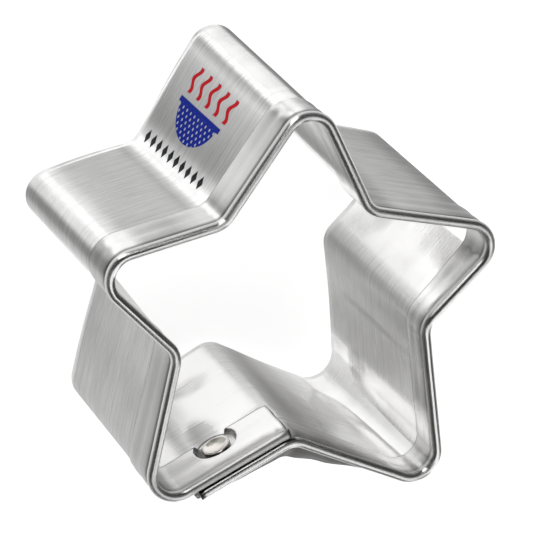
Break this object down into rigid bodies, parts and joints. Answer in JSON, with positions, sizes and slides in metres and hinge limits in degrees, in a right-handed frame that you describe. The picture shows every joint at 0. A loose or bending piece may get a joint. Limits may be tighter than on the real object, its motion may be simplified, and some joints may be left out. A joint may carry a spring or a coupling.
{
  "type": "cookie cutter",
  "caption": "Five-pointed star cookie cutter of thin brushed sheet metal, with a folded rim binding, rolled bead and riveted seam.",
  "frame": {"origin": "on the plane of the cutting edge, in the middle of the star's box", "axes": "+Z from the cutting edge to the rim, +Y towards the point opposite the seam, +X to the right seen from above"},
  "size_m": [0.0372, 0.0374, 0.0254],
  "materials": {
    "blade_sheet": "brushed along the strip",
    "rim_sheet": "brushed along the strip, rolled bead polished by the rollers",
    "rivet_metal": "bright"
  },
  "bodies": {
    "root": {"blade_strip": "blade_sheet", "rim_binding": "rim_sheet", "seam_rivet": "rivet_metal"}
  },
  "joints": []
}
